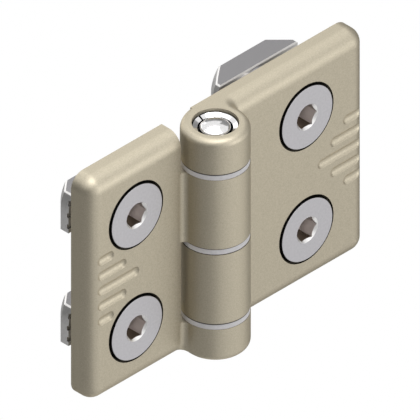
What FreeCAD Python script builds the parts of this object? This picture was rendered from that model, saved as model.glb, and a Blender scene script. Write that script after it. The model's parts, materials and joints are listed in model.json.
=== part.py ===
import FreeCAD, Part
import math
import os

import Sketcher

# Hinge for slotted aluminium profiles, laid open flat, in millimetres.
# +Z is up along the hinge pin, -Y is the front and +X runs from the pin along the wide leaf.
# The origin is on the wide leaf's mounting face, midway between its two screws.

DOC = FreeCAD.newDocument("profile_hinge")
SHEET = DOC.addObject("Spreadsheet::Sheet", "Dims")

DIMENSIONS = (
    ("leaf_height", 44.0, "height of both leaves and of the knuckle column"),
    ("leaf_thickness", 4.5, "mounting face to front face"),
    ("leaf_end_gap", 0.8, "leaf's inner end to the other leaf's knuckles"),
    ("wide_hole_distance", 22.3, "pin axis to the wide leaf's screws"),
    ("wide_edge_distance", 13.9, "those screws to the wide leaf's outer edge"),
    ("narrow_hole_distance", 17.0, "pin axis to the narrow leaf's screws"),
    ("narrow_edge_distance", 10.5, "those screws to the narrow leaf's outer edge"),
    ("screw_spacing", 22.5, "between the two screws of a leaf"),
    ("front_rounding", 2.7, "front edges of a leaf and its outer corners, which are ball-shaped"),
    ("casting_allowance", 1.0, "stock behind the mounting face, milled away"),
    ("knuckle_radius", 5.8, "outside of the knuckles"),
    ("knuckle_rounding", 1.2, "front end edge of the end knuckle"),
    ("knuckle_side_rounding", 0.6, "the same edge midway round to the mounting face"),
    ("knuckle_back_rounding", 0.3, "the same edge where it meets the mounting face"),
    ("web_rounding", 1.15, "hollow corner between knuckle and leaf"),
    ("end_knuckle_length", 6.5, "short knuckle at the column's end"),
    ("knuckle_gap", 1.2, "between neighbouring knuckles"),
    ("bore_radius", 3.9, "bore through the knuckles"),
    ("countersink_radius", 6.28, "rim of a countersink in the front face"),
    ("countersink_rim", 0.4, "straight part of that rim, before the cone"),
    ("clearance_hole_radius", 3.2, "screw hole behind the countersink"),
    ("flute_pitch", 3.0, "between the grip flutes"),
    ("flute_width", 1.9, "a flute's width at the face"),
    ("flute_depth", 0.5, "a flute's depth"),
    ("flute_reach", 11.25, "outer edge to the middle flute's inner end"),
    ("flute_step", 2.92, "by which each next flute is shorter"),
    ("wide_flute_margin", 0.9, "outer edge to the wide leaf's flutes"),
    ("narrow_flute_margin", 1.7, "outer edge to the narrow leaf's flutes"),
    ("pin_radius", 2.6, "hinge pin"),
    ("pin_setback", 1.0, "pin's ends below the column's ends"),
    ("pin_chamfer", 0.5, "edges of the pin's ends"),
    ("fit_clearance", 0.02, "radial, between pieces that don't turn on each other"),
    ("running_clearance", 0.04, "radial, pin in the bushes"),
    ("end_float", 0.1, "axial, bush flange to the other leaf's knuckle"),
    ("sleeve_setback", 0.5, "upper sleeve's top below the column's top"),
    ("sleeve_chamfer", 0.3, "lead-in at a sleeve's ends"),
    ("slit_width", 0.4, "slit along a sleeve"),
    ("flange_setback", 0.1, "bush flange inside the knuckle's outline"),
    ("bush_gap", 0.3, "between the two bushes of the long knuckle"),
    ("head_radius", 6.0, "screw head"),
    ("head_rim", 0.9, "straight rim of a screw head"),
    ("thread_radius", 3.0, "outside of the screw's thread"),
    ("thread_chamfer", 0.5, "screw tip"),
    ("narrow_screw_length", 12.0, "screw of the narrow leaf, with its head"),
    ("wide_screw_length", 16.0, "screw of the wide leaf, with its head"),
    ("key_width", 4.0, "across the flats of the hexagon socket"),
    ("key_depth", 2.6, "depth of the hexagon socket"),
    ("narrow_nut_shoulder", 7.57, "leaf's front face to the narrow leaf's nuts"),
    ("narrow_nut_height", 3.83, "height of those nuts"),
    ("narrow_nut_reach", 8.0, "half their length"),
    ("narrow_nut_half_width", 3.7, "half their width"),
    ("narrow_nut_chamfer", 2.0, "back ends of those nuts"),
    ("wide_nut_shoulder", 11.5, "leaf's front face to the wide leaf's nuts"),
    ("wide_nut_height", 4.3, "height of those nuts"),
    ("wide_nut_reach", 9.5, "half their length"),
    ("wide_nut_half_width", 4.54, "half their width"),
    ("wide_nut_chamfer", 3.3, "back ends of those nuts"),
    ("wide_nut_neck_radius", 4.2, "round neck in the profile's slot"),
    ("wide_nut_neck_length", 1.5, "height of that neck"),
    ("nut_bevel", 0.22, "broken edges of a nut"),
    ("nut_bore_clearance", 0.03, "radial, screw in nut"),
    ("serration_pitch", 2.2, "between the three grooves across a nut's shoulder"),
    ("serration_width", 0.9, "width of such a groove"),
    ("serration_depth", 0.35, "depth of such a groove"),
)

for row, (alias, value, meaning) in enumerate(DIMENSIONS, start=1):
    SHEET.set("A%d" % row, meaning)
    SHEET.set("B%d" % row, repr(value))
    SHEET.setAlias("B%d" % row, alias)
DOC.recompute()

# Sizes that follow from the driving dimensions, as expressions.
COLUMN_TOP = "Dims.leaf_height / 2"
END_KNUCKLE_FOOT = "(Dims.leaf_height / 2 - Dims.end_knuckle_length)"
LONG_KNUCKLE_FAR = "(Dims.leaf_height / 2 - Dims.end_knuckle_length - Dims.knuckle_gap)"
LONG_KNUCKLE_NEAR = "(Dims.knuckle_gap / 2)"
LONG_KNUCKLE_LENGTH = "(%s - %s)" % (LONG_KNUCKLE_FAR, LONG_KNUCKLE_NEAR)
FRONT_FACE = "(Dims.knuckle_radius - Dims.leaf_thickness)"
LEAF_END = "(Dims.knuckle_radius + Dims.leaf_end_gap)"
BLANK_BACK = "(Dims.knuckle_radius + Dims.casting_allowance)"
HALF_SPACING = "(Dims.screw_spacing / 2)"
SEAT_DEPTH = "(Dims.countersink_rim + Dims.countersink_radius - Dims.head_radius - Dims.fit_clearance)"
HEAD_TOP = "(%s - Dims.head_rim)" % SEAT_DEPTH
FLANGE_THICKNESS = "(Dims.knuckle_gap - Dims.end_float)"

OVERCUT = 1.0
MATCH = 1e-4


def value(expression):
    """The number that an expression of the sheet's names gives."""
    result = SHEET.evalExpression(str(expression))
    return float(getattr(result, "Value", result))


def origin_feature(body, role):
    return next(f for f in body.Origin.OriginFeatures if f.Role == role)


def new_body(name):
    body = DOC.addObject("PartDesign::Body", name)
    body.Label = name
    return body


def new_sketch(body, name, role, offset=None):
    """A sketch on one of the body's own origin planes; offset holds expressions by axis."""
    sketch = body.newObject("Sketcher::SketchObject", name)
    sketch.AttachmentSupport = [(origin_feature(body, role), "")]
    sketch.MapMode = "FlatFace"
    for axis, expression in (offset or {}).items():
        sketch.setExpression("AttachmentOffset.Base." + axis, expression)
    return sketch


def bind(sketch, constraint, expression):
    """Adds a driving constraint and ties its size to an expression."""
    index = sketch.addConstraint(constraint)
    sketch.setExpression("Constraints[%d]" % index, expression)
    return index


def fix_coordinate(sketch, kind, geometry, point, expression):
    """Ties one coordinate of a point, measured from the sketch's origin, to an expression."""
    number = value(expression)
    if abs(number) < MATCH:
        axis = -2 if kind == "DistanceX" else -1
        sketch.addConstraint(Sketcher.Constraint("PointOnObject", geometry, point, axis))
    elif number > 0:
        bind(sketch, Sketcher.Constraint(kind, -1, 1, geometry, point, number), expression)
    else:
        bind(sketch, Sketcher.Constraint(kind, geometry, point, -1, 1, -number), "-(%s)" % expression)


def outline(sketch, points):
    """A closed outline of straight lines through points given as pairs of expressions."""
    corners = [FreeCAD.Vector(value(x), value(y), 0) for x, y in points]
    count = len(corners)
    for index in range(count):
        sketch.addGeometry(Part.LineSegment(corners[index], corners[(index + 1) % count]))
    for index in range(count):
        sketch.addConstraint(Sketcher.Constraint("Coincident", index, 2, (index + 1) % count, 1))
    for index, (x, y) in enumerate(points):
        fix_coordinate(sketch, "DistanceX", index, 1, x)
        fix_coordinate(sketch, "DistanceY", index, 1, y)


def circle(sketch, radius):
    """A circle round the sketch's origin."""
    sketch.addGeometry(Part.Circle(FreeCAD.Vector(), FreeCAD.Vector(0, 0, 1), value(radius)))
    sketch.addConstraint(Sketcher.Constraint("Coincident", 0, 3, -1, 1))
    bind(sketch, Sketcher.Constraint("Radius", 0, value(radius)), radius)


def pad(body, name, sketch, length):
    feature = body.newObject("PartDesign::Pad", name)
    feature.Profile = sketch
    feature.setExpression("Length", length)
    return feature


def pocket_through(body, name, sketch):
    feature = body.newObject("PartDesign::Pocket", name)
    feature.Profile = sketch
    feature.Type = "ThroughAll"
    return feature


def turned(body, kind, name, sketch):
    """A revolution or groove of a sketch round its own vertical axis."""
    feature = body.newObject("PartDesign::" + kind, name)
    feature.Profile = sketch
    feature.ReferenceAxis = (sketch, ["V_Axis"])
    feature.Angle = 360
    return feature


def edge_names(shape, wanted):
    """Names of a shape's edges that a test picks."""
    return ["Edge%d" % number for number, edge in enumerate(shape.Edges, start=1) if wanted(edge)]


def level(low, high, number):
    return abs(low - number) < MATCH and abs(high - number) < MATCH


# Leaves

def slab_sketch(sketch, outer_edge):
    """A leaf seen from the front, square at its inner end and rounded at its outer corners."""
    inner = value(LEAF_END)
    outer = value(outer_edge)
    top = value(COLUMN_TOP)
    radius = value("Dims.front_rounding")
    point = FreeCAD.Vector
    sketch.addGeometry(Part.LineSegment(point(inner, -top, 0), point(outer - radius, -top, 0)))
    sketch.addGeometry(Part.ArcOfCircle(
        Part.Circle(point(outer - radius, radius - top, 0), point(0, 0, 1), radius), -math.pi / 2, 0))
    sketch.addGeometry(Part.LineSegment(point(outer, radius - top, 0), point(outer, top - radius, 0)))
    sketch.addGeometry(Part.ArcOfCircle(
        Part.Circle(point(outer - radius, top - radius, 0), point(0, 0, 1), radius), 0, math.pi / 2))
    sketch.addGeometry(Part.LineSegment(point(outer - radius, top, 0), point(inner, top, 0)))
    sketch.addGeometry(Part.LineSegment(point(inner, top, 0), point(inner, -top, 0)))
    add = sketch.addConstraint
    for first, second in ((0, 1), (1, 2), (2, 3), (3, 4)):
        add(Sketcher.Constraint("Tangent", first, 2, second, 1))
    add(Sketcher.Constraint("Coincident", 4, 2, 5, 1))
    add(Sketcher.Constraint("Coincident", 5, 2, 0, 1))
    add(Sketcher.Constraint("Horizontal", 0))
    add(Sketcher.Constraint("Horizontal", 4))
    add(Sketcher.Constraint("Vertical", 2))
    add(Sketcher.Constraint("Vertical", 5))
    add(Sketcher.Constraint("Equal", 1, 3))
    bind(sketch, Sketcher.Constraint("Radius", 1, radius), "Dims.front_rounding")
    fix_coordinate(sketch, "DistanceX", 5, 1, LEAF_END)
    fix_coordinate(sketch, "DistanceY", 5, 1, COLUMN_TOP)
    fix_coordinate(sketch, "DistanceY", 5, 2, "-" + COLUMN_TOP)
    fix_coordinate(sketch, "DistanceX", 2, 1, outer_edge)


def knuckle_sketch(sketch):
    """A knuckle and its web to the leaf, seen from above, with stock behind the mounting face."""
    radius = value("Dims.knuckle_radius")
    hollow = value("Dims.web_rounding")
    front = value(FRONT_FACE)
    back = value(BLANK_BACK)
    centre_y = front - hollow
    web_end = math.sqrt((radius + hollow) ** 2 - centre_y ** 2)
    meeting = math.atan2(centre_y, web_end)
    point = FreeCAD.Vector
    up = point(0, 0, 1)
    sketch.addGeometry(Part.LineSegment(point(0, radius, 0), point(0, back, 0)))
    sketch.addGeometry(Part.LineSegment(point(0, back, 0), point(web_end, back, 0)))
    sketch.addGeometry(Part.LineSegment(point(web_end, back, 0), point(web_end, front, 0)))
    sketch.addGeometry(Part.ArcOfCircle(
        Part.Circle(point(web_end, centre_y, 0), up, hollow), math.pi / 2, math.pi + meeting))
    sketch.addGeometry(Part.ArcOfCircle(
        Part.Circle(point(0, 0, 0), up, radius), math.pi, 2 * math.pi + meeting))
    for start in (math.pi / 2, math.pi * 3 / 4):
        sketch.addGeometry(Part.ArcOfCircle(
            Part.Circle(point(0, 0, 0), up, radius), start, start + math.pi / 4))
    add = sketch.addConstraint
    for first, second in ((0, 1), (1, 2)):
        add(Sketcher.Constraint("Coincident", first, 2, second, 1))
    add(Sketcher.Constraint("Coincident", 2, 2, 3, 1))
    add(Sketcher.Constraint("Tangent", 3, 2, 4, 2))
    add(Sketcher.Constraint("Coincident", 5, 1, 0, 1))
    add(Sketcher.Constraint("Coincident", 5, 2, 6, 1))
    add(Sketcher.Constraint("Coincident", 6, 2, 4, 1))
    for arc in (4, 5, 6):
        add(Sketcher.Constraint("Coincident", arc, 3, -1, 1))
    add(Sketcher.Constraint("PointOnObject", 6, 2, -1))
    add(Sketcher.Constraint("PointOnObject", 5, 1, -2))
    add(Sketcher.Constraint("Angle", 5, math.pi / 4))
    add(Sketcher.Constraint("Vertical", 0))
    add(Sketcher.Constraint("Horizontal", 1))
    add(Sketcher.Constraint("Vertical", 2))
    add(Sketcher.Constraint("Vertical", 2, 2, 3, 3))
    bind(sketch, Sketcher.Constraint("Radius", 3, hollow), "Dims.web_rounding")
    bind(sketch, Sketcher.Constraint("Radius", 4, radius), "Dims.knuckle_radius")
    fix_coordinate(sketch, "DistanceY", 1, 1, BLANK_BACK)
    fix_coordinate(sketch, "DistanceY", 3, 1, FRONT_FACE)


def leaf_blank(name, hole_distance, outer_edge):
    """The unrounded casting of a leaf in the column's frame: the end knuckle is at the top, the
    leaf runs along +X and its stock reaches behind the mounting face."""
    body = new_body(name)
    slab = new_sketch(body, name + "_slab", "XZ_Plane", {"z": "-" + BLANK_BACK})
    slab_sketch(slab, outer_edge)
    pad(body, name + "_slab_pad", slab, "Dims.leaf_thickness + Dims.casting_allowance")
    knuckles = (
        ("end", END_KNUCKLE_FOOT, "Dims.end_knuckle_length"),
        ("long", "-" + LONG_KNUCKLE_FAR, LONG_KNUCKLE_LENGTH),
    )
    for label, foot, length in knuckles:
        sketch = new_sketch(body, "%s_%s_knuckle" % (name, label), "XY_Plane", {"z": foot})
        knuckle_sketch(sketch)
        pad(body, "%s_%s_knuckle_pad" % (name, label), sketch, length)
    bore = new_sketch(body, name + "_bore", "XY_Plane", {"z": COLUMN_TOP})
    circle(bore, "Dims.bore_radius")
    pocket_through(body, name + "_bore_pocket", bore)
    for label, sign in (("upper", ""), ("lower", "-")):
        profile = new_sketch(body, "%s_%s_hole" % (name, label), "XY_Plane",
                             {"x": hole_distance, "z": sign + HALF_SPACING})
        narrowing = "(Dims.countersink_radius - Dims.clearance_hole_radius)"
        outline(profile, (
            ("0", FRONT_FACE + " - %g" % OVERCUT),
            ("Dims.countersink_radius", FRONT_FACE + " - %g" % OVERCUT),
            ("Dims.countersink_radius", "%s + Dims.countersink_rim" % FRONT_FACE),
            ("Dims.clearance_hole_radius", "%s + Dims.countersink_rim + %s" % (FRONT_FACE, narrowing)),
            ("Dims.clearance_hole_radius", BLANK_BACK + " + %g" % OVERCUT),
            ("0", BLANK_BACK + " + %g" % OVERCUT),
        ))
        turned(body, "Groove", "%s_%s_countersink" % (name, label), profile)
    DOC.recompute()
    return body


def front_roundings(shape, outer_edge):
    """Which edges of a blank are rounded, each with its radius at its first and last vertex."""
    front = value(FRONT_FACE)
    top = value(COLUMN_TOP)
    outer = value(outer_edge)
    radius = value("Dims.knuckle_radius")
    leaf_rounding = value("Dims.front_rounding")
    ring_rounding = value("Dims.knuckle_rounding")

    def ring_rounding_at(point):
        """The knuckle's end edge grows sharper round its side towards the mounting face."""
        if point.y > radius - MATCH:
            return value("Dims.knuckle_back_rounding")
        if point.y > MATCH and point.x < 0:
            return value("Dims.knuckle_side_rounding")
        return ring_rounding

    rows = []
    for number, edge in enumerate(shape.Edges, start=1):
        box = edge.BoundBox
        first, last = edge.Vertexes[0].Point, edge.Vertexes[-1].Point
        on_front = level(box.YMin, box.YMax, front) and first.distanceToPoint(last) > MATCH
        at_top = level(box.ZMin, box.ZMax, top)
        at_foot = level(box.ZMin, box.ZMax, -top)
        at_outer = level(box.XMin, box.XMax, outer)
        is_arc = edge.Curve.TypeId == "Part::GeomCircle"
        if on_front and (at_top or at_foot or at_outer or is_arc):
            rows.append((number, leaf_rounding, leaf_rounding))
        elif at_top and is_arc and abs(edge.Curve.Radius - value("Dims.web_rounding")) < MATCH:
            starts_at_leaf = first.x > last.x
            ends = (leaf_rounding, ring_rounding)
            rows.append((number, *(ends if starts_at_leaf else reversed(ends))))
        elif at_top and is_arc and abs(edge.Curve.Radius - radius) < MATCH:
            rows.append((number, ring_rounding_at(first), ring_rounding_at(last)))
    return rows


def flute_tools(name, outer_edge, margin):
    """Ball-ended cutters for the five grip flutes, longest in the middle."""
    ball = "((Dims.flute_width ^ 2 / 4 + Dims.flute_depth ^ 2) / (2 * Dims.flute_depth))"
    centre_y = "(%s + Dims.flute_depth - %s)" % (FRONT_FACE, ball)
    tools = []
    for row in range(-2, 3):
        label = "%s_flute_%d" % (name, row + 3)
        length = "(Dims.flute_reach - %s - %d * Dims.flute_step)" % (margin, abs(row))
        outer_end = "(%s - %s - Dims.flute_width / 2)" % (outer_edge, margin)
        run = "(%s - Dims.flute_width)" % length
        height = "%d * Dims.flute_pitch" % row
        core = DOC.addObject("Part::Cylinder", label)
        core.setExpression("Radius", ball)
        core.setExpression("Height", run)
        core.Placement.Rotation = FreeCAD.Rotation(FreeCAD.Vector(0, 1, 0), 90)
        core.setExpression("Placement.Base.x", "%s - %s" % (outer_end, run))
        core.setExpression("Placement.Base.y", centre_y)
        core.setExpression("Placement.Base.z", height)
        tools.append(core)
        for end, x in (("outer", outer_end), ("inner", "%s - %s" % (outer_end, run))):
            cap = DOC.addObject("Part::Sphere", "%s_%s" % (label, end))
            cap.setExpression("Radius", ball)
            cap.setExpression("Placement.Base.x", x)
            cap.setExpression("Placement.Base.y", centre_y)
            cap.setExpression("Placement.Base.z", height)
            tools.append(cap)
    fused = DOC.addObject("Part::MultiFuse", name + "_flutes")
    fused.Shapes = tools
    return fused


def leaf(name, hole_distance, outer_edge, flute_margin):
    """A finished leaf: blank, rounded front, milled mounting face and cut flutes."""
    blank = leaf_blank(name + "_blank", hole_distance, outer_edge)
    rounded = DOC.addObject("Part::Fillet", name + "_rounded")
    rounded.Base = blank
    rounded.Edges = front_roundings(blank.Shape, outer_edge)
    mill = DOC.addObject("Part::Box", name + "_mill")
    mill.setExpression("Length", "%s + 2 * Dims.knuckle_radius" % outer_edge)
    mill.setExpression("Width", "Dims.casting_allowance + %g" % OVERCUT)
    mill.setExpression("Height", "Dims.leaf_height + %g" % (2 * OVERCUT))
    mill.setExpression("Placement.Base.x", "-Dims.knuckle_radius")
    mill.setExpression("Placement.Base.y", "Dims.knuckle_radius")
    mill.setExpression("Placement.Base.z", "-Dims.leaf_height / 2 - %g" % OVERCUT)
    milled = DOC.addObject("Part::Cut", name + "_milled")
    milled.Base = rounded
    milled.Tool = mill
    finished = DOC.addObject("Part::Cut", name)
    finished.Base = milled
    finished.Tool = flute_tools(name, outer_edge, flute_margin)
    finished.Label = name
    return finished


# Pin, sleeves and bushes, turned round the pin's axis

def pin():
    body = new_body("hinge_pin")
    half = "(%s - Dims.pin_setback)" % COLUMN_TOP
    sketch = new_sketch(body, "pin_section", "XZ_Plane")
    outline(sketch, (
        ("0", "-" + half),
        ("Dims.pin_radius - Dims.pin_chamfer", "-" + half),
        ("Dims.pin_radius", "Dims.pin_chamfer - " + half),
        ("Dims.pin_radius", half + " - Dims.pin_chamfer"),
        ("Dims.pin_radius - Dims.pin_chamfer", half),
        ("0", half),
    ))
    turned(body, "Revolution", "pin_bar", sketch)
    return body


def sleeve(name, length):
    """A slotted spring sleeve standing on z = 0, slit along its back."""
    body = new_body(name)
    outer = "(Dims.bore_radius - Dims.fit_clearance)"
    inner = "(Dims.pin_radius + Dims.fit_clearance)"
    cut = "Dims.sleeve_chamfer"
    half_cut = "Dims.sleeve_chamfer / 2"
    sketch = new_sketch(body, name + "_section", "XZ_Plane")
    outline(sketch, (
        (inner, cut),
        ("%s + %s" % (inner, cut), "0"),
        ("%s - %s" % (outer, half_cut), "0"),
        (outer, half_cut),
        (outer, "%s - %s" % (length, half_cut)),
        ("%s - %s" % (outer, half_cut), length),
        ("%s + %s" % (inner, cut), length),
        (inner, "%s - %s" % (length, cut)),
    ))
    turned(body, "Revolution", name + "_tube", sketch)
    slit = new_sketch(body, name + "_slit", "XY_Plane", {"z": length})
    outline(slit, (
        ("-Dims.slit_width / 2", "Dims.pin_radius / 2"),
        ("Dims.slit_width / 2", "Dims.pin_radius / 2"),
        ("Dims.slit_width / 2", "Dims.bore_radius + %g" % OVERCUT),
        ("-Dims.slit_width / 2", "Dims.bore_radius + %g" % OVERCUT),
    ))
    pocket_through(body, name + "_slit_pocket", slit)
    return body


def bush(name, length):
    """A flanged bush: the flange stands on z = 0 and the tube hangs below it."""
    body = new_body(name)
    outer = "(Dims.bore_radius - Dims.fit_clearance)"
    inner = "(Dims.pin_radius + Dims.running_clearance)"
    rim = "(Dims.knuckle_radius - Dims.flange_setback)"
    sketch = new_sketch(body, name + "_section", "XZ_Plane")
    outline(sketch, (
        (inner, "-(%s)" % length),
        (outer, "-(%s)" % length),
        (outer, "0"),
        (rim, "0"),
        (rim, FLANGE_THICKNESS),
        (inner, FLANGE_THICKNESS),
    ))
    turned(body, "Revolution", name + "_turned", sketch)
    return body


# Screws and nuts, on the Y axis, with y = 0 in the leaf's front face and +Y into the profile

def screw(name, length):
    """A countersunk hexagon-socket screw."""
    body = new_body(name)
    tip = "(%s + %s)" % (HEAD_TOP, length)
    sketch = new_sketch(body, name + "_section", "XY_Plane")
    outline(sketch, (
        ("0", HEAD_TOP),
        ("Dims.head_radius", HEAD_TOP),
        ("Dims.head_radius", SEAT_DEPTH),
        ("Dims.thread_radius", "%s + Dims.head_radius - Dims.thread_radius" % SEAT_DEPTH),
        ("Dims.thread_radius", "%s - Dims.thread_chamfer" % tip),
        ("Dims.thread_radius - Dims.thread_chamfer", tip),
        ("0", tip),
    ))
    turned(body, "Revolution", name + "_turned", sketch)
    socket = new_sketch(body, name + "_socket", "XZ_Plane", {"z": "-" + HEAD_TOP})
    corner = "Dims.key_width / sqrt(3)"
    outline(socket, (
        ("0", corner),
        ("-Dims.key_width / 2", "%s / 2" % corner),
        ("-Dims.key_width / 2", "-%s / 2" % corner),
        ("0", "-" + corner),
        ("Dims.key_width / 2", "-%s / 2" % corner),
        ("Dims.key_width / 2", "%s / 2" % corner),
    ))
    hexagon = body.newObject("PartDesign::Pocket", name + "_socket_pocket")
    hexagon.Profile = socket
    hexagon.setExpression("Length", "Dims.key_depth")
    return body


def nut_sketch(sketch, reach, half_width):
    """A hammer nut seen from behind: two opposite corners are round, so it turns in the slot."""
    long_half = value(reach)
    short_half = value(half_width)
    run = math.sqrt(long_half ** 2 - short_half ** 2)
    sweep = math.atan2(short_half, run)
    point = FreeCAD.Vector
    up = point(0, 0, 1)
    ring = Part.Circle(point(0, 0, 0), up, long_half)
    sketch.addGeometry(Part.LineSegment(point(-long_half, -short_half, 0), point(-long_half, 0, 0)))
    sketch.addGeometry(Part.ArcOfCircle(ring, math.pi - sweep, math.pi))
    sketch.addGeometry(Part.LineSegment(point(-run, short_half, 0), point(long_half, short_half, 0)))
    sketch.addGeometry(Part.LineSegment(point(long_half, short_half, 0), point(long_half, 0, 0)))
    sketch.addGeometry(Part.ArcOfCircle(ring, -sweep, 0))
    sketch.addGeometry(Part.LineSegment(point(run, -short_half, 0), point(-long_half, -short_half, 0)))
    add = sketch.addConstraint
    add(Sketcher.Constraint("Tangent", 0, 2, 1, 2))
    add(Sketcher.Constraint("Coincident", 1, 1, 2, 1))
    add(Sketcher.Constraint("Coincident", 2, 2, 3, 1))
    add(Sketcher.Constraint("Tangent", 3, 2, 4, 2))
    add(Sketcher.Constraint("Coincident", 4, 1, 5, 1))
    add(Sketcher.Constraint("Coincident", 5, 2, 0, 1))
    for arc in (1, 4):
        add(Sketcher.Constraint("Coincident", arc, 3, -1, 1))
        bind(sketch, Sketcher.Constraint("Radius", arc, long_half), reach)
    for line in (0, 3):
        add(Sketcher.Constraint("Vertical", line))
    for line in (2, 5):
        add(Sketcher.Constraint("Horizontal", line))
    fix_coordinate(sketch, "DistanceY", 2, 1, half_width)
    fix_coordinate(sketch, "DistanceY", 5, 1, "-" + half_width)


def nut(name, kind):
    """A hammer-head T-slot nut; kind is narrow or wide, for the leaf that it belongs to."""
    body = new_body(name)
    size = "Dims.%s_nut_" % kind
    shoulder = size + "shoulder"
    back = "(%s + %sheight)" % (shoulder, size)
    reach = size + "reach"
    half_width = size + "half_width"
    plan = new_sketch(body, name + "_plan", "XZ_Plane", {"z": "-" + back})
    nut_sketch(plan, reach, half_width)
    block = pad(body, name + "_block", plan, size + "height")
    DOC.recompute()
    back_y = value(back)
    side_z = value(half_width)
    ends = body.newObject("PartDesign::Chamfer", name + "_ends")
    ends.Base = (block, edge_names(block.Shape, lambda e: level(e.BoundBox.YMin, e.BoundBox.YMax, back_y)
                                   and e.BoundBox.ZLength > MATCH))
    ends.setExpression("Size", size + "chamfer")
    DOC.recompute()
    bevel = body.newObject("PartDesign::Chamfer", name + "_bevels")
    bevel.Base = (ends, edge_names(ends.Shape, lambda e: level(e.BoundBox.ZMin, e.BoundBox.ZMax, side_z)
                                   or level(e.BoundBox.ZMin, e.BoundBox.ZMax, -side_z)))
    bevel.setExpression("Size", "Dims.nut_bevel")
    grooves = new_sketch(body, name + "_groove", "XZ_Plane", {"z": "-" + shoulder, "y": "-Dims.serration_pitch"})
    outline(grooves, (
        ("-(%s + %g)" % (reach, OVERCUT), "-Dims.serration_width / 2"),
        ("%s + %g" % (reach, OVERCUT), "-Dims.serration_width / 2"),
        ("%s + %g" % (reach, OVERCUT), "Dims.serration_width / 2"),
        ("-(%s + %g)" % (reach, OVERCUT), "Dims.serration_width / 2"),
    ))
    groove = body.newObject("PartDesign::Pocket", name + "_groove_pocket")
    groove.Profile = grooves
    groove.setExpression("Length", "Dims.serration_depth")
    DOC.recompute()
    row = body.newObject("PartDesign::LinearPattern", name + "_serration")
    row.Originals = [groove]
    row.Direction = (grooves, ["V_Axis"])
    row.Occurrences = 3
    row.setExpression("Length", "2 * Dims.serration_pitch")
    body.Tip = row
    if kind == "wide":
        neck = new_sketch(body, name + "_neck", "XZ_Plane", {"z": "-(%s + Dims.serration_depth)" % shoulder})
        circle(neck, "Dims.wide_nut_neck_radius")
        pad(body, name + "_neck_pad", neck, "Dims.wide_nut_neck_length + Dims.serration_depth")
    hole = new_sketch(body, name + "_hole", "XZ_Plane", {"z": "-(%s - Dims.wide_nut_neck_length)" % shoulder})
    circle(hole, "Dims.thread_radius + Dims.nut_bore_clearance")
    pocket_through(body, name + "_hole_pocket", hole)
    return body


# The column stands behind the wide leaf's mounting face and beside its screws.
COLUMN_X = "-Dims.wide_hole_distance"
COLUMN_Y = "-Dims.knuckle_radius"
HALF_TURN = FreeCAD.Rotation(FreeCAD.Vector(0, 1, 0), 180)


def place(piece, x, y, z, rotation=None):
    if rotation:
        piece.Placement.Rotation = rotation
    piece.setExpression("Placement.Base.x", x)
    piece.setExpression("Placement.Base.y", y)
    piece.setExpression("Placement.Base.z", z)


WIDE_EDGE = "(Dims.wide_hole_distance + Dims.wide_edge_distance)"
NARROW_EDGE = "(Dims.narrow_hole_distance + Dims.narrow_edge_distance)"
UPPER_SLEEVE = "(Dims.end_knuckle_length - Dims.sleeve_setback)"
HALF_BUSH = "(%s / 2 - Dims.bush_gap / 2)" % LONG_KNUCKLE_LENGTH
LOWER_BUSH = "(Dims.end_knuckle_length - Dims.sleeve_setback)"

pieces = []

wide_leaf = leaf("wide_leaf", "Dims.wide_hole_distance", WIDE_EDGE, "Dims.wide_flute_margin")
place(wide_leaf, COLUMN_X, COLUMN_Y, "0")
pieces.append(wide_leaf)

narrow_leaf = leaf("narrow_leaf", "Dims.narrow_hole_distance", NARROW_EDGE, "Dims.narrow_flute_margin")
place(narrow_leaf, COLUMN_X, COLUMN_Y, "0", HALF_TURN)
pieces.append(narrow_leaf)

hinge_pin = pin()
place(hinge_pin, COLUMN_X, COLUMN_Y, "0")
pieces.append(hinge_pin)

for sleeve_name, sleeve_length, sleeve_foot in (
    ("slotted_sleeve_upper", UPPER_SLEEVE, END_KNUCKLE_FOOT),
    ("slotted_sleeve_inner", LONG_KNUCKLE_LENGTH, "-" + LONG_KNUCKLE_FAR),
):
    piece = sleeve(sleeve_name, sleeve_length)
    place(piece, COLUMN_X, COLUMN_Y, sleeve_foot)
    pieces.append(piece)

for bush_name, bush_length, bush_seat, bush_turn in (
    ("bush_upper", HALF_BUSH, LONG_KNUCKLE_FAR, None),
    ("bush_middle", HALF_BUSH, LONG_KNUCKLE_NEAR, HALF_TURN),
    ("bush_lower", LOWER_BUSH, "-" + END_KNUCKLE_FOOT, None),
):
    piece = bush(bush_name, bush_length)
    place(piece, COLUMN_X, COLUMN_Y, bush_seat, bush_turn)
    pieces.append(piece)

NARROW_SCREWS_X = "-(Dims.wide_hole_distance + Dims.narrow_hole_distance)"
FRONT_Y = "-Dims.leaf_thickness"

for kind, column_offset in (("wide", "0"), ("narrow", NARROW_SCREWS_X)):
    for row_name, row_height in (("upper", HALF_SPACING), ("lower", "-" + HALF_SPACING)):
        piece = screw("screw_%s_%s" % (kind, row_name), "Dims.%s_screw_length" % kind)
        place(piece, column_offset, FRONT_Y, row_height)
        pieces.append(piece)
        piece = nut("nut_%s_%s" % (kind, row_name), kind)
        place(piece, column_offset, FRONT_Y, row_height)
        pieces.append(piece)

DOC.recompute()

for item in DOC.Objects:
    if "Invalid" in item.State or "Error" in item.State:
        raise RuntimeError("%s failed: %s" % (item.Name, item.State))
for piece in pieces:
    if piece.Shape.isNull() or not piece.Shape.isValid():
        raise RuntimeError("%s has no valid shape" % piece.Label)
    if len(piece.Shape.Solids) != 1:
        raise RuntimeError("%s has %d solids" % (piece.Label, len(piece.Shape.Solids)))

os.makedirs("parts", exist_ok=True)
for piece in pieces:
    piece.Shape.exportStep(os.path.join("parts", piece.Label + ".step"))
    box = piece.Shape.BoundBox
    print("%-22s %8.2f mm3  x %7.2f %7.2f  y %7.2f %7.2f  z %7.2f %7.2f" % (
        piece.Label, piece.Shape.Volume, box.XMin, box.XMax, box.YMin, box.YMax, box.ZMin, box.ZMax))
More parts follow.
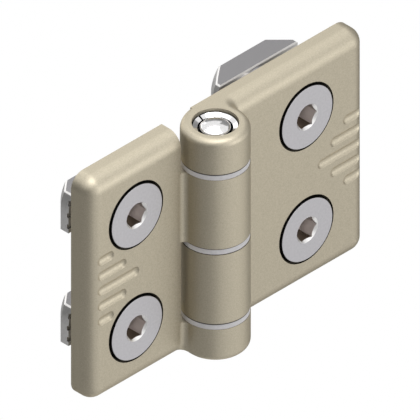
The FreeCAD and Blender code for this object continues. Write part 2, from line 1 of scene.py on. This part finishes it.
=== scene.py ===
"""The looks of a die-cast leaf hinge for slotted profiles, laid open flat.

Everything is in metres in the model's own frame: +Z up along the hinge pin, -Y the front,
+X from the pin along the wide leaf.
"""

import json
import math

import bmesh
import bpy
from mathutils import Matrix, Vector

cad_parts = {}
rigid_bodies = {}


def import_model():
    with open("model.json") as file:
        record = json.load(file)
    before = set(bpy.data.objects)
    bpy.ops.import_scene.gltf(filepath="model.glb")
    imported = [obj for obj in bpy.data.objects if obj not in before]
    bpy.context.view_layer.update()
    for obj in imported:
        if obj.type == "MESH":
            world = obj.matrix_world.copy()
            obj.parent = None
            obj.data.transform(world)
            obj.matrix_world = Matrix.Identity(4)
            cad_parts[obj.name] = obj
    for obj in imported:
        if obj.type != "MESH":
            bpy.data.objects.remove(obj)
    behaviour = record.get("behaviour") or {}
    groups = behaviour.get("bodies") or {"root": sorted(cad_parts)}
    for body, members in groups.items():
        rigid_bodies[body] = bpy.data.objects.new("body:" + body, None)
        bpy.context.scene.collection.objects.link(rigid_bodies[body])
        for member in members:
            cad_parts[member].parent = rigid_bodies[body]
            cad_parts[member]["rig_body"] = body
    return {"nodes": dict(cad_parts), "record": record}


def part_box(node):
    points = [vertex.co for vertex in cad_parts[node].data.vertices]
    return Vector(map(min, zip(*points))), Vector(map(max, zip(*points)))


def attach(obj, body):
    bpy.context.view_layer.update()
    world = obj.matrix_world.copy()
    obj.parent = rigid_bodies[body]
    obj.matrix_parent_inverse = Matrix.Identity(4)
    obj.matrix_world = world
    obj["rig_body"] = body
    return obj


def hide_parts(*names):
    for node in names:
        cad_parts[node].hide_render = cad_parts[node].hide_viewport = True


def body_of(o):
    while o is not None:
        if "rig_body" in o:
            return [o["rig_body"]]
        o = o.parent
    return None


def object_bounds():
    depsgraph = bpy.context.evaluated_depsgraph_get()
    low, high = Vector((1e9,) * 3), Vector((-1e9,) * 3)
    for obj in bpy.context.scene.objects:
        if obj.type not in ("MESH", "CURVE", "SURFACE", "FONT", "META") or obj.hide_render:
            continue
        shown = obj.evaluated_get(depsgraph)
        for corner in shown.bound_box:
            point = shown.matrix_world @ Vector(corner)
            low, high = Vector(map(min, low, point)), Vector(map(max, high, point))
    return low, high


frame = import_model()
cad_low, cad_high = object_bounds()
NODES = frame["nodes"]
SLOTS = {entry["node"]: entry["material_slot"] for entry in frame["record"]["subparts"]}
MM = 0.001


def nodes_with(slot):
    return [node_name for node_name, slot_name in SLOTS.items() if slot_name == slot]


SCREWS = nodes_with("screw_steel")
BUSHES = nodes_with("grey_plastic")

# The photograph's view: an even isometric one from the left, the front and above

VIEW_AZIMUTH = -45.0
VIEW_ELEVATION = 35.264
VIEW_CENTRE = Vector((-18.506, -0.783, 0.0)) * MM
VIEW_WIDTH = 68.515 * MM
CAMERA_DISTANCE = 0.4
CLIP_NEAR = 0.01
CLIP_FAR = 10.0

# Screw heads and sockets, which the screws' shapes and their material share. The mouth's painted
# highlight reaches down to a depth, and the painted shade on the head's side starts a little inside
# its largest radius.

KEY_WIDTH = 4.0 * MM
KEY_MOUTH = 2.42 * MM
HIGHLIGHT_DEPTH = 0.4 * MM
HEAD_GAP = 0.2 * MM
HEAD_EDGE = 0.05 * MM
SIDE_SHADE_INSET = 0.0175 * MM


def head_radius(node_name):
    """Radius of a screw's head, smaller than the CAD's, so that a dark gap shows round it."""
    low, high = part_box(node_name)
    return (high.x - low.x) / 2 - HEAD_GAP


# Colours

PAINT = (0.455, 0.412, 0.322)
PAINT_GLOSS = (1.0, 0.93, 0.78)
STEEL = (0.475, 0.465, 0.48)
# Painted light and shade in the screws: lighter steel in the socket, shade on its upward wall, a
# highlight in the mouth and shade on the head's side
SOCKET_PAINTED_LIGHT = (0.62, 0.58, 0.56)
SOCKET_PAINTED_SHADE = (0.2, 0.16, 0.12)
MOUTH_PAINTED_HIGHLIGHT = (0.78, 0.77, 0.76)
HEAD_SIDE_PAINTED_SHADE = (0.03, 0.03, 0.03)
POLISHED = (0.8, 0.79, 0.79)
PLASTIC = (0.76, 0.745, 0.76)
# Painted shadow in the gap above each bush's flange
JOINT_SHADOW = (0.06, 0.055, 0.045)
ZINC = (0.62, 0.61, 0.6)
# Painted shade on the nuts' level tops
ZINC_TOP_SHADE = (0.25, 0.245, 0.25)
# Painted shade for narrow gaps
CREVICE_SHADE = (0.03, 0.03, 0.03)
WHITE = (1.0, 1.0, 1.0)

# Grain: features per metre, and the noise values between which its shades change

PAINT_GRAIN = 5000.0
PAINT_RIPPLE = 3600.0
METAL_GRAIN = 2500.0
PLASTIC_GRAIN = 1800.0
GRAIN_LOW = 0.3
GRAIN_MIDDLE = 0.5
GRAIN_HIGH = 0.7
RELIEF_HEIGHT = 0.01 * MM

# Painted shade in narrow gaps: how near another surface has to be, and how open to view a place is
# where the painted shade is full and where it has gone

CREVICE_WIDTH = 1.3 * MM
CREVICE_FULL = 0.2
CREVICE_UNSHADED = 0.72

# A surface looks up where the upward part of its normal is larger, which is within 26 degrees

LEVEL_NORMAL = 0.9

# Width of the painted shadow line below a flange's upper edge

JOINT_WIDTH = 0.18 * MM


# Shader nodes that the materials share

def new_material(name, settings):
    """A material, its node tree and its shader with the given settings."""
    material = bpy.data.materials.new(name)
    material.use_nodes = True
    tree = material.node_tree
    shader = tree.nodes["Principled BSDF"]
    for socket_name, value in settings.items():
        shader.inputs[socket_name].default_value = value
    return material, tree, shader


def noise(tree, scale, detail):
    """Object-space noise; scale is in features per metre."""
    coordinates = tree.nodes.new("ShaderNodeTexCoord")
    texture = tree.nodes.new("ShaderNodeTexNoise")
    texture.inputs["Scale"].default_value = scale
    texture.inputs["Detail"].default_value = detail
    tree.links.new(coordinates.outputs["Object"], texture.inputs["Vector"])
    return texture.outputs["Fac"]


def ramp(tree, factor, stops):
    """Colour ramp from (position, colour) pairs."""
    node = tree.nodes.new("ShaderNodeValToRGB")
    elements = node.color_ramp.elements
    for element, (position, colour) in zip(elements, (stops[0], stops[-1])):
        element.position = position
        element.color = (*colour, 1.0)
    for position, colour in stops[1:-1]:
        elements.new(position).color = (*colour, 1.0)
    tree.links.new(factor, node.inputs["Fac"])
    return node.outputs["Color"]


def tint(colour, factor):
    return tuple(channel * factor for channel in colour)


def grained(tree, colour, scale, detail, darkest, lightest):
    """The colour with a fine grain in it, and the grain itself."""
    grain = noise(tree, scale, detail)
    stops = ((GRAIN_LOW, tint(colour, darkest)), (GRAIN_HIGH, tint(colour, lightest)))
    return ramp(tree, grain, stops), grain


def bump(tree, shader, height, strength):
    node = tree.nodes.new("ShaderNodeBump")
    node.inputs["Strength"].default_value = strength
    node.inputs["Distance"].default_value = RELIEF_HEIGHT
    tree.links.new(height, node.inputs["Height"])
    tree.links.new(node.outputs["Normal"], shader.inputs["Normal"])


def mixed(tree, factor, first, second, blend="MIX"):
    """The first colour where the factor is 0, blended with the second where it is 1."""
    mix = tree.nodes.new("ShaderNodeMix")
    mix.data_type = "RGBA"
    mix.blend_type = blend
    for source, socket_name in ((factor, "Factor"), (first, "A"), (second, "B")):
        socket = mix.inputs[socket_name]
        if isinstance(source, float):
            socket.default_value = source
        elif isinstance(source, tuple):
            socket.default_value = (*source, 1.0)
        else:
            tree.links.new(source, socket)
    return mix.outputs["Result"]


def compared(tree, value, operation, limit, tolerance=0.0):
    """1 where the value passes the comparison and 0 elsewhere."""
    node = tree.nodes.new("ShaderNodeMath")
    node.operation = operation
    node.inputs[1].default_value = limit
    node.inputs[2].default_value = tolerance
    tree.links.new(value, node.inputs[0])
    return node.outputs["Value"]


def part_of(tree, vector, axis):
    node = tree.nodes.new("ShaderNodeSeparateXYZ")
    tree.links.new(vector, node.inputs["Vector"])
    return node.outputs[axis]


def level_surfaces(tree):
    """1 where a surface looks up and 0 elsewhere."""
    normal = tree.nodes.new("ShaderNodeNewGeometry").outputs["Normal"]
    return compared(tree, part_of(tree, normal, "Z"), "GREATER_THAN", LEVEL_NORMAL)


def distance_from_axis(tree, place):
    """Distance of an object-space place from the piece's own Z axis."""
    flat = tree.nodes.new("ShaderNodeVectorMath")
    flat.operation = "MULTIPLY"
    flat.inputs[1].default_value = (1.0, 1.0, 0.0)
    tree.links.new(place, flat.inputs[0])
    length = tree.nodes.new("ShaderNodeVectorMath")
    length.operation = "LENGTH"
    tree.links.new(flat.outputs["Vector"], length.inputs[0])
    return length.outputs["Value"]


def with_crevice_shade(tree, colour):
    """The colour, darkened nearly to black by painted shade in gaps narrower than about the crevice
    width.
    """
    closeness = tree.nodes.new("ShaderNodeAmbientOcclusion")
    closeness.inputs["Distance"].default_value = CREVICE_WIDTH
    shade = ramp(tree, closeness.outputs["AO"], ((CREVICE_FULL, CREVICE_SHADE), (CREVICE_UNSHADED, WHITE)))
    return mixed(tree, 1.0, colour, shade, "MULTIPLY")


# Materials, one function each

def paint_material():
    """Satin champagne paint with a fine metallic grain, and painted shade in narrow gaps."""
    material, tree, shader = new_material("champagne_paint", {
        "Metallic": 0.85,
        "Roughness": 0.5,
        "Specular IOR Level": 0.9,
        "Specular Tint": (*PAINT_GLOSS, 1.0),
    })
    grain = noise(tree, PAINT_GRAIN, detail=3.0)
    stops = ((GRAIN_LOW, tint(PAINT, 0.9)), (GRAIN_MIDDLE, PAINT), (GRAIN_HIGH, tint(PAINT, 1.09)))
    # Painted shade in narrow gaps
    shade = with_crevice_shade(tree, ramp(tree, grain, stops))
    tree.links.new(shade, shader.inputs["Base Color"])
    bump(tree, shader, noise(tree, PAINT_RIPPLE, detail=3.0), strength=0.25)
    return material


def new_metal(name, colour, roughness, relief):
    """A finely grained metal and its colour, which isn't linked to the shader yet."""
    material, tree, shader = new_material(name, {"Metallic": 1.0, "Roughness": roughness})
    shade, grain = grained(tree, colour, METAL_GRAIN, detail=3.0, darkest=0.95, lightest=1.04)
    bump(tree, shader, grain, relief)
    return material, tree, shader, shade


def screw_material():
    """Plated screw steel. The socket has painted lighter steel except for painted shade where it
    looks up, its mouth has a painted highlight, and the head's side has painted shade."""
    material, tree, shader, shade = new_metal("screw_steel", STEEL, roughness=0.38, relief=0.1)
    place = tree.nodes.new("ShaderNodeTexCoord").outputs["Object"]
    reach = distance_from_axis(tree, place)
    in_mouth = compared(tree, part_of(tree, place, "Z"), "LESS_THAN", HIGHLIGHT_DEPTH)
    in_socket = compared(tree, reach, "LESS_THAN", KEY_MOUTH)
    on_side = compared(tree, reach, "GREATER_THAN", head_radius(SCREWS[0]) - SIDE_SHADE_INSET)
    # Painted light in the socket, painted shade on its upward wall and on the head's side, a painted
    # highlight in the mouth
    socket = mixed(tree, level_surfaces(tree), SOCKET_PAINTED_LIGHT, SOCKET_PAINTED_SHADE)
    socket = mixed(tree, in_mouth, socket, MOUTH_PAINTED_HIGHLIGHT)
    shade = mixed(tree, in_socket, shade, socket)
    shade = mixed(tree, on_side, shade, HEAD_SIDE_PAINTED_SHADE)
    tree.links.new(shade, shader.inputs["Base Color"])
    return material


def polished_material():
    """Polished steel with painted shade where pieces meet."""
    material, tree, shader, shade = new_metal("polished_steel", POLISHED, roughness=0.12, relief=0.03)
    # Painted shade where pieces meet
    tree.links.new(with_crevice_shade(tree, shade), shader.inputs["Base Color"])
    return material


def zinc_material():
    """Zinc whose level tops have painted shade, darker than the sides and bevels."""
    material, tree, shader, shade = new_metal("nut_zinc", ZINC, roughness=0.42, relief=0.1)
    # Painted shade on the level tops
    shade = mixed(tree, level_surfaces(tree), shade, ZINC_TOP_SHADE)
    tree.links.new(shade, shader.inputs["Base Color"])
    return material


def flange_top(node_name):
    """Height of the upper edge of a bush's flange, its widest part."""
    node = NODES[node_name]
    _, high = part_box(node_name)
    places = [node.matrix_world @ vertex.co for vertex in node.data.vertices]
    return max(place.z for place in places if place.x > high.x - JOINT_WIDTH)


def plastic_material():
    """Grey plastic with a painted shadow line where a flange's upper edge meets the knuckle."""
    material, tree, shader = new_material("grey_plastic", {"Roughness": 0.5})
    shade, grain = grained(tree, PLASTIC, PLASTIC_GRAIN, detail=2.0, darkest=0.96, lightest=1.04)
    height = part_of(tree, tree.nodes.new("ShaderNodeNewGeometry").outputs["Position"], "Z")
    for bush_name in BUSHES:
        # Painted shadow line at each flange's upper edge
        joint_shadow = compared(tree, height, "COMPARE", flange_top(bush_name), JOINT_WIDTH)
        shade = mixed(tree, joint_shadow, shade, JOINT_SHADOW)
    tree.links.new(shade, shader.inputs["Base Color"])
    bump(tree, shader, grain, strength=0.1)
    return material


MATERIALS = {
    "champagne_paint": paint_material(),
    "screw_steel": screw_material(),
    "polished_steel": polished_material(),
    "grey_plastic": plastic_material(),
    "nut_zinc": zinc_material(),
}


def dress(piece, slot_name):
    """Gives a piece its material and the record's slot."""
    piece.data.materials.clear()
    piece.data.materials.append(MATERIALS[slot_name])


for node_name, slot_name in SLOTS.items():
    dress(NODES[node_name], slot_name)


# Turned pieces that are finer than the frame's: built round their own Z, then laid into place

SHARP_EDGE = math.radians(20)
SEGMENTS = 48


def placed(name, data):
    """A new object in the scene."""
    piece = bpy.data.objects.new(name, data)
    bpy.context.scene.collection.objects.link(piece)
    return piece


def mesh_piece(name, vertices, faces):
    """A closed shell with its faces turned outwards and its sharp edges kept."""
    mesh = bpy.data.meshes.new(name)
    mesh.from_pydata(vertices, [], faces)
    shell = bmesh.new()
    shell.from_mesh(mesh)
    bmesh.ops.recalc_face_normals(shell, faces=shell.faces)
    shell.to_mesh(mesh)
    shell.free()
    mesh.shade_smooth()
    mesh.set_sharp_from_angle(angle=SHARP_EDGE)
    return placed(name, mesh)


def lathe(name, rings):
    """A mesh through rings, closed at both ends. A ring gives (radius, height) for an angle."""
    vertices = []
    faces = []
    for ring in rings:
        for index in range(SEGMENTS):
            angle = 2 * math.pi * index / SEGMENTS
            radius, height = ring(angle)
            vertices.append((radius * math.cos(angle), radius * math.sin(angle), height))
    for row in range(len(rings) - 1):
        for index in range(SEGMENTS):
            following = (index + 1) % SEGMENTS
            faces.append((row * SEGMENTS + index, row * SEGMENTS + following,
                          (row + 1) * SEGMENTS + following, (row + 1) * SEGMENTS + index))
    for row in (0, len(rings) - 1):
        _, height = rings[row](0.0)
        centre = len(vertices)
        vertices.append((0.0, 0.0, height))
        for index in range(SEGMENTS):
            following = (index + 1) % SEGMENTS
            faces.append((centre, row * SEGMENTS + index, row * SEGMENTS + following))
    return mesh_piece(name, vertices, faces)


def circle(radius, height):
    return lambda angle: (radius, height)


def stand_in(piece, node_name, matrix):
    """Puts a finer piece where a node of the frame is and shows it instead."""
    piece.matrix_world = matrix
    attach(piece, body_of(NODES[node_name])[0])
    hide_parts(node_name)
    dress(piece, SLOTS[node_name])


# Screws: a socket with a chamfered mouth, a thin bright edge round the head, and a rolled thread

KEY_DEPTH = 3.1 * MM
KEY_POINT = 0.6 * MM
KEY_POINT_RADIUS = 0.2 * MM
HEAD_RIM = 0.9 * MM
THREAD_RADIUS = 3.0 * MM
THREAD_DEPTH = 0.42 * MM
THREAD_PITCH = 1.0 * MM
THREAD_STEPS = 6
TIP_CHAMFER = 0.5 * MM


def key_radius(angle):
    """Distance from the axis to a hexagon with a corner towards angle 0."""
    side = math.pi / 3
    return KEY_WIDTH / 2 / math.cos(angle % side - side / 2)


def hexagon(height):
    return lambda angle: (key_radius(angle), height)


def mouth(angle):
    """Where a chamfer of 45 degrees from the round mouth meets the hexagon."""
    radius = key_radius(angle)
    return radius, KEY_MOUTH - radius


def thread(height):
    """A slice through a thread with straight flanks."""
    def ring(angle):
        turn = (height / THREAD_PITCH - angle / (2 * math.pi)) % 1.0
        return THREAD_RADIUS - THREAD_DEPTH * abs(2 * turn - 1), height
    return ring


def screw(node_name):
    """A screw whose head's face is at the node's front and whose axis runs towards the back."""
    low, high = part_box(node_name)
    head = head_radius(node_name)
    length = high.y - low.y
    shank = HEAD_RIM + head - THREAD_RADIUS
    core = THREAD_RADIUS - THREAD_DEPTH
    rings = [
        circle(KEY_POINT_RADIUS, KEY_DEPTH + KEY_POINT),
        hexagon(KEY_DEPTH),
        mouth,
        circle(KEY_MOUTH, 0.0),
        circle(head - HEAD_EDGE, 0.0),
        circle(head, HEAD_EDGE),
        circle(head, HEAD_RIM),
        circle(THREAD_RADIUS, shank),
    ]
    height = shank + THREAD_PITCH / THREAD_STEPS
    while height < length - TIP_CHAMFER:
        rings.append(thread(height))
        height += THREAD_PITCH / THREAD_STEPS
    rings.append(circle(core, length - TIP_CHAMFER / 2))
    rings.append(circle(core - TIP_CHAMFER / 2, length))
    piece = lathe(node_name + "_fine", rings)
    foot = Vector(((low.x + high.x) / 2, low.y, (low.z + high.z) / 2))
    stand_in(piece, node_name, Matrix.Translation(foot) @ Matrix.Rotation(-math.pi / 2, 4, "X"))


for screw_name in SCREWS:
    screw(screw_name)


# Hinge pin with domed ends, which reach further than the frame's

PIN_CROWN = 0.3 * MM
PIN_CROWN_SHARES = (0.05, 0.4, 0.7, 0.9, 1.0)
PIN_EDGE = 0.6 * MM
PIN_EDGE_STEPS = 8
PIN_RISE = 0.42 * MM


def mirrored(ring):
    """The ring at the same distance on the other side of the middle."""
    def other(angle):
        radius, height = ring(angle)
        return radius, -height
    return other


def pin():
    """A pin that is symmetrical about its middle."""
    low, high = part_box("hinge_pin")
    radius = (high.x - low.x) / 2
    half = (high.z - low.z) / 2 + PIN_RISE
    flat = radius - PIN_EDGE
    end = [circle(flat * share, half + PIN_CROWN * (1 - share * share)) for share in PIN_CROWN_SHARES]
    for step in range(1, PIN_EDGE_STEPS + 1):
        turn = math.pi / 2 * step / PIN_EDGE_STEPS
        end.append(circle(flat + PIN_EDGE * math.sin(turn), half - PIN_EDGE * (1 - math.cos(turn))))
    rings = end + [mirrored(ring) for ring in reversed(end)]
    stand_in(lathe("hinge_pin_fine", rings), "hinge_pin", Matrix.Translation((low + high) / 2))


pin()


# Upper slotted sleeve with a funnel and a wider bore at its top, so that a dark gap shows round
# the pin

SLIT_HALF = 0.2 * MM
SLEEVE_CLEARANCE = 0.02 * MM
SLEEVE_EDGE = 0.2 * MM
SLEEVE_SETBACK = 0.15 * MM
SLEEVE_STEPS = 72
FUNNEL_DEPTH = 0.42 * MM
COUNTERBORE = 2.95 * MM
COUNTERBORE_DEPTH = 1.6 * MM


def sleeve(node_name):
    """A section swept round the pin, apart from the slit towards the back."""
    low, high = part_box(node_name)
    outer = (high.x - low.x) / 2
    pin_low, pin_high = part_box("hinge_pin")
    inner = (pin_high.x - pin_low.x) / 2 + SLEEVE_CLEARANCE
    length = high.z - low.z - SLEEVE_SETBACK
    section = (
        (inner, 0.0),
        (outer - SLEEVE_EDGE, 0.0),
        (outer, SLEEVE_EDGE),
        (outer, length - SLEEVE_EDGE),
        (outer - SLEEVE_EDGE, length),
        (COUNTERBORE, length - FUNNEL_DEPTH),
        (COUNTERBORE, length - COUNTERBORE_DEPTH),
        (inner, length - COUNTERBORE_DEPTH),
    )
    count = len(section)
    half_slit = SLIT_HALF / outer
    vertices = []
    faces = []
    for step in range(SLEEVE_STEPS + 1):
        angle = math.pi / 2 + half_slit + (2 * math.pi - 2 * half_slit) * step / SLEEVE_STEPS
        for radius, height in section:
            vertices.append((radius * math.cos(angle), radius * math.sin(angle), height))
    for step in range(SLEEVE_STEPS):
        for row in range(count):
            first = step * count + row
            second = step * count + (row + 1) % count
            faces.append((first, second, second + count, first + count))
    faces.append(tuple(range(count)))
    faces.append(tuple(range(SLEEVE_STEPS * count, (SLEEVE_STEPS + 1) * count)))
    foot = Vector(((pin_low.x + pin_high.x) / 2, (pin_low.y + pin_high.y) / 2, low.z))
    stand_in(mesh_piece(node_name + "_fine", vertices, faces), node_name, Matrix.Translation(foot))


sleeve("slotted_sleeve_upper")


# Camera and lamps

def direction(azimuth, elevation):
    """Unit vector from the object towards a viewer or lamp; azimuth 0 is the front."""
    turn = math.radians(azimuth)
    rise = math.radians(elevation)
    across = math.cos(rise)
    return Vector((math.sin(turn) * across, -math.cos(turn) * across, math.sin(rise)))


def aim(piece, azimuth, elevation, distance):
    """Puts a camera or lamp off the centre of the view and turns it to look there."""
    towards = direction(azimuth, elevation)
    piece.location = VIEW_CENTRE + towards * distance
    piece.rotation_mode = "QUATERNION"
    piece.rotation_quaternion = towards.to_track_quat("Z", "Y")


def photo_camera():
    camera = placed("camera", bpy.data.cameras.new("camera"))
    camera.data.type = "ORTHO"
    camera.data.ortho_scale = VIEW_WIDTH
    camera.data.clip_start = CLIP_NEAR
    camera.data.clip_end = CLIP_FAR
    aim(camera, VIEW_AZIMUTH, VIEW_ELEVATION, CAMERA_DISTANCE)
    bpy.context.scene.camera = camera


def lamp(name, azimuth, elevation, distance, size, power):
    """A square softbox."""
    data = bpy.data.lights.new(name, "AREA")
    data.shape = "SQUARE"
    data.size = size
    data.energy = power
    aim(placed(name, data), azimuth, elevation, distance)


# Floor, world and the grey cards that the paint and the metals mirror

FLOOR_DROP = 0.15
FLOOR_SIZE = 3.0
FLOOR_SHADE = 0.8
WORLD_LEVEL = 0.12
MATTE_ROUGHNESS = 0.9
CARD_NEAR = 0.03
CARD_FAR = 0.5
CARD_RIGHT = 0.3
CARD_LEVEL = -0.11
CARD_STEPS = 24


def whitened(tree, shader_output, output_node):
    """Plain white to the camera, to mirrors and through glass; soft light comes from the shader."""
    path = tree.nodes.new("ShaderNodeLightPath")
    either = path.outputs["Is Camera Ray"]
    for name in ("Is Glossy Ray", "Is Transmission Ray"):
        larger = tree.nodes.new("ShaderNodeMath")
        larger.operation = "MAXIMUM"
        tree.links.new(either, larger.inputs[0])
        tree.links.new(path.outputs[name], larger.inputs[1])
        either = larger.outputs["Value"]
    white = tree.nodes.new("ShaderNodeEmission")
    white.inputs["Strength"].default_value = 1.0
    mix = tree.nodes.new("ShaderNodeMixShader")
    tree.links.new(either, mix.inputs["Fac"])
    tree.links.new(shader_output, mix.inputs[1])
    tree.links.new(white.outputs["Emission"], mix.inputs[2])
    tree.links.new(mix.outputs["Shader"], output_node.inputs["Surface"])


def stage_sheet(name, vertices, faces, shade):
    """A matte grey sheet of the studio, with its node tree and shader."""
    settings = {"Base Color": (shade, shade, shade, 1.0), "Roughness": MATTE_ROUGHNESS}
    material, tree, shader = new_material(name, settings)
    mesh = bpy.data.meshes.new(name)
    mesh.from_pydata(vertices, [], faces)
    mesh.materials.append(material)
    piece = placed(name, mesh)
    return piece, tree, shader


def floor():
    half = FLOOR_SIZE / 2
    level = cad_low.z - FLOOR_DROP
    corners = [(x, y, level) for x, y in ((-half, -half), (half, -half), (half, half), (-half, half))]
    _, tree, shader = stage_sheet("floor", corners, [(0, 1, 2, 3)], FLOOR_SHADE)
    whitened(tree, shader.outputs["BSDF"], tree.nodes["Material Output"])


def world():
    studio = bpy.data.worlds.new("studio")
    bpy.context.scene.world = studio
    studio.use_nodes = True
    tree = studio.node_tree
    background = tree.nodes["Background"]
    background.inputs["Color"].default_value = (*WHITE, 1.0)
    background.inputs["Strength"].default_value = WORLD_LEVEL
    whitened(tree, background.outputs["Background"], tree.nodes["World Output"])


def card(name, start, end, profile, shade):
    """A sheet bent round the hinge from one azimuth to another, which the camera doesn't see. The
    profile holds the (distance, height) of its two edges."""
    vertices = []
    faces = []
    for step in range(CARD_STEPS + 1):
        around = direction(start + (end - start) * step / CARD_STEPS, 0.0)
        for distance, height in profile:
            vertices.append(VIEW_CENTRE + around * distance + Vector((0.0, 0.0, height)))
    for first in range(0, 2 * CARD_STEPS, 2):
        faces.append((first, first + 1, first + 3, first + 2))
    piece, _, _ = stage_sheet(name, vertices, faces, shade)
    piece.visible_camera = False


def ground_card(name, start, end, shade):
    card(name, start, end, ((CARD_NEAR, CARD_LEVEL), (CARD_FAR, CARD_LEVEL)), shade)


def wall_card(name, start, end, distance, height, shade):
    card(name, start, end, ((distance, CARD_LEVEL), (distance, height)), shade)


photo_camera()
floor()
world()
lamp("front", azimuth=18.0, elevation=6.0, distance=0.3, size=0.2, power=0.27)
lamp("overhead", azimuth=-10.0, elevation=76.0, distance=0.6, size=0.4, power=2.3)
lamp("left_high", azimuth=-100.0, elevation=46.0, distance=0.6, size=0.9, power=1.1)
lamp("back_high", azimuth=140.0, elevation=60.0, distance=0.6, size=0.2, power=0.4)
lamp("behind", azimuth=172.0, elevation=12.0, distance=0.4, size=0.3, power=0.25)
ground_card("left_ground", start=200.0, end=320.0, shade=0.62)
ground_card("right_ground", start=70.0, end=200.0, shade=0.3)
wall_card("left_wall", start=200.0, end=320.0, distance=CARD_FAR, height=0.25, shade=0.25)
wall_card("back_wall", start=125.0, end=155.0, distance=CARD_FAR, height=0.22, shade=0.5)
wall_card("right_wall", start=70.0, end=125.0, distance=CARD_RIGHT, height=0.24, shade=0.4)

bpy.context.scene.view_settings.view_transform = "Standard"
